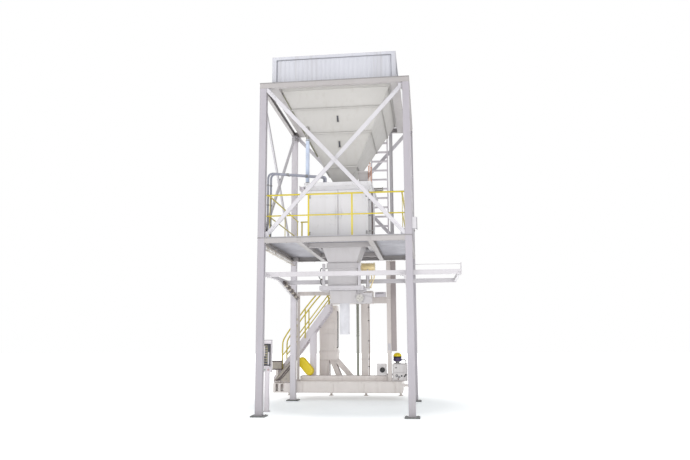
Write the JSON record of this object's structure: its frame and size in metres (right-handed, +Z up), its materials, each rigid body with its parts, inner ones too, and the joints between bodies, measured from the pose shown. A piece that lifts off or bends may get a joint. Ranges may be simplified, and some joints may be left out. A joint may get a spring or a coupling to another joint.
{
  "type": "vertical form fill sealer",
  "caption": "Tall steel tower feeding packaging: box hopper and cone over a weigh cabinet on a railed deck, a valve and filling tube below, and a skid with stair behind.",
  "frame": {"origin": "bottom centre of the whole assembly, on the floor", "axes": "+Z up, +X to the right seen from the front, front faces -Y"},
  "size_m": [5.445, 6.0624, 8.885],
  "materials": {
    "column": "satin pale lavender-grey paint",
    "beam": "satin light grey paint",
    "deck": "dull grey chequer plate",
    "brace": "satin off-white paint",
    "panel": "ribbed cool grey sheet",
    "cone": "warm pale grey paint",
    "cabinet": "smooth near-white paint",
    "steel": "brushed steel",
    "brass": "dull golden drum",
    "white": "near-white paint",
    "machine": "dusty beige-grey paint",
    "lavender": "lavender-grey paint",
    "brown": "brown-grey tray",
    "dark": "dark grey paint",
    "black_plastic": "black plastic",
    "blue": "pale blue corrugated hose",
    "yellow": "safety yellow paint",
    "guard": "orange-yellow guard paint",
    "red": "red mushroom head",
    "green": "green push button"
  },
  "bodies": {
    "tower": {"column_front_left": "column", "column_front_right": "column", "column_back_left": "column", "column_back_right": "column", "platform_frame": "beam", "top_frame": "beam", "platform_deck": "deck", "brace_front_a": "brace", "brace_front_b": "brace", "brace_back_a": "brace", "brace_back_b": "brace", "brace_left_a": "brace", "brace_left_b": "brace", "brace_right_a": "brace", "brace_right_b": "brace", "hopper_box": "panel", "hopper_cone": "cone", "discharge_funnel": "cone", "weigh_cabinet": "cabinet", "gate_housing": "steel", "weigh_bucket": "steel", "valve_actuator": "brass", "clamp_frame": "white", "track_frame": "white", "dust_elbow": "white", "fill_tube": "white", "head_arm": "machine", "skid": "machine", "portal_frame": "machine", "pedestal": "machine", "ladder": "lavender", "pipe_back": "lavender", "control_stand": "lavender", "stair": "lavender", "gear_unit": "lavender", "cable_tray": "brown", "pipe_front": "dark", "junction_box": "dark", "cable_chain": "dark", "motor_box": "dark", "bellows_hose": "blue", "guard_front": "yellow", "guard_left": "yellow", "guard_back": "yellow", "guard_right": "yellow", "stair_rail_near": "yellow", "stair_rail_far": "yellow", "drive_guard": "guard"},
    "gate": {"gate_blade": "steel"},
    "door_left": {"cabinet_door_left": "cabinet"},
    "door_right": {"cabinet_door_right": "cabinet"},
    "flap_left": {"bucket_flap_left": "steel"},
    "flap_right": {"bucket_flap_right": "steel"},
    "valve": {"valve_blade": "steel"},
    "panel_leaf": {"panel_door": "lavender"},
    "stop_button": {"emergency_stop": "red"},
    "run_button": {"start_button": "green"},
    "wheel": {"handwheel": "black_plastic"},
    "pulley": {"sheave": "steel"}
  },
  "joints": [
    {"name": "gate_slide", "type": "slide", "parent": "tower", "child": "gate", "axis": [1, 0, 0], "range_m": [0, 0.38]},
    {"name": "door_left_hinge", "type": "hinge", "parent": "tower", "child": "door_left", "pos_m": [-1.0355, -1.97475, 4.881], "axis": [0, 0, -1], "range_deg": [0, 100]},
    {"name": "door_right_hinge", "type": "hinge", "parent": "tower", "child": "door_right", "pos_m": [0.4805, -1.97475, 4.881], "axis": [0, 0, 1], "range_deg": [0, 100]},
    {"name": "flap_left_hinge", "type": "hinge", "parent": "tower", "child": "flap_left", "pos_m": [-0.545, -0.86875, 4.704], "axis": [0, 1, 0], "range_deg": [0, 70]},
    {"name": "flap_right_hinge", "type": "hinge", "parent": "tower", "child": "flap_right", "pos_m": [-0.005, -0.86875, 4.704], "axis": [0, -1, 0], "range_deg": [0, 70]},
    {"name": "valve_turn", "type": "hinge", "parent": "tower", "child": "valve", "pos_m": [-0.2625, -0.86875, 3.63], "axis": [1, 0, 0], "range_deg": [0, 90]},
    {"name": "panel_hinge", "type": "hinge", "parent": "tower", "child": "panel_leaf", "pos_m": [-2.1915, -1.89775, 1.415], "axis": [0, 0, -1], "range_deg": [0, 120]},
    {"name": "stop_press", "type": "slide", "parent": "tower", "child": "stop_button", "axis": [0, 1, 0], "range_m": [0, 0.008], "stiffness_N_per_m": 800},
    {"name": "run_press", "type": "slide", "parent": "tower", "child": "run_button", "axis": [0, 1, 0], "range_m": [0, 0.006], "stiffness_N_per_m": 600},
    {"name": "handwheel_turn", "type": "hinge", "parent": "tower", "child": "wheel", "pos_m": [0.5805, 1.27625, 0.868], "axis": [0, -1, 0], "range_deg": [-90, 90]},
    {"name": "sheave_spin", "type": "hinge", "parent": "tower", "child": "pulley", "pos_m": [0.1875, -1.22875, 2.8], "axis": [0, -1, 0], "continuous": true}
  ],
  "couplings": [
    {"joint": "flap_right_hinge", "follows": "flap_left_hinge", "ratio": 1}
  ]
}
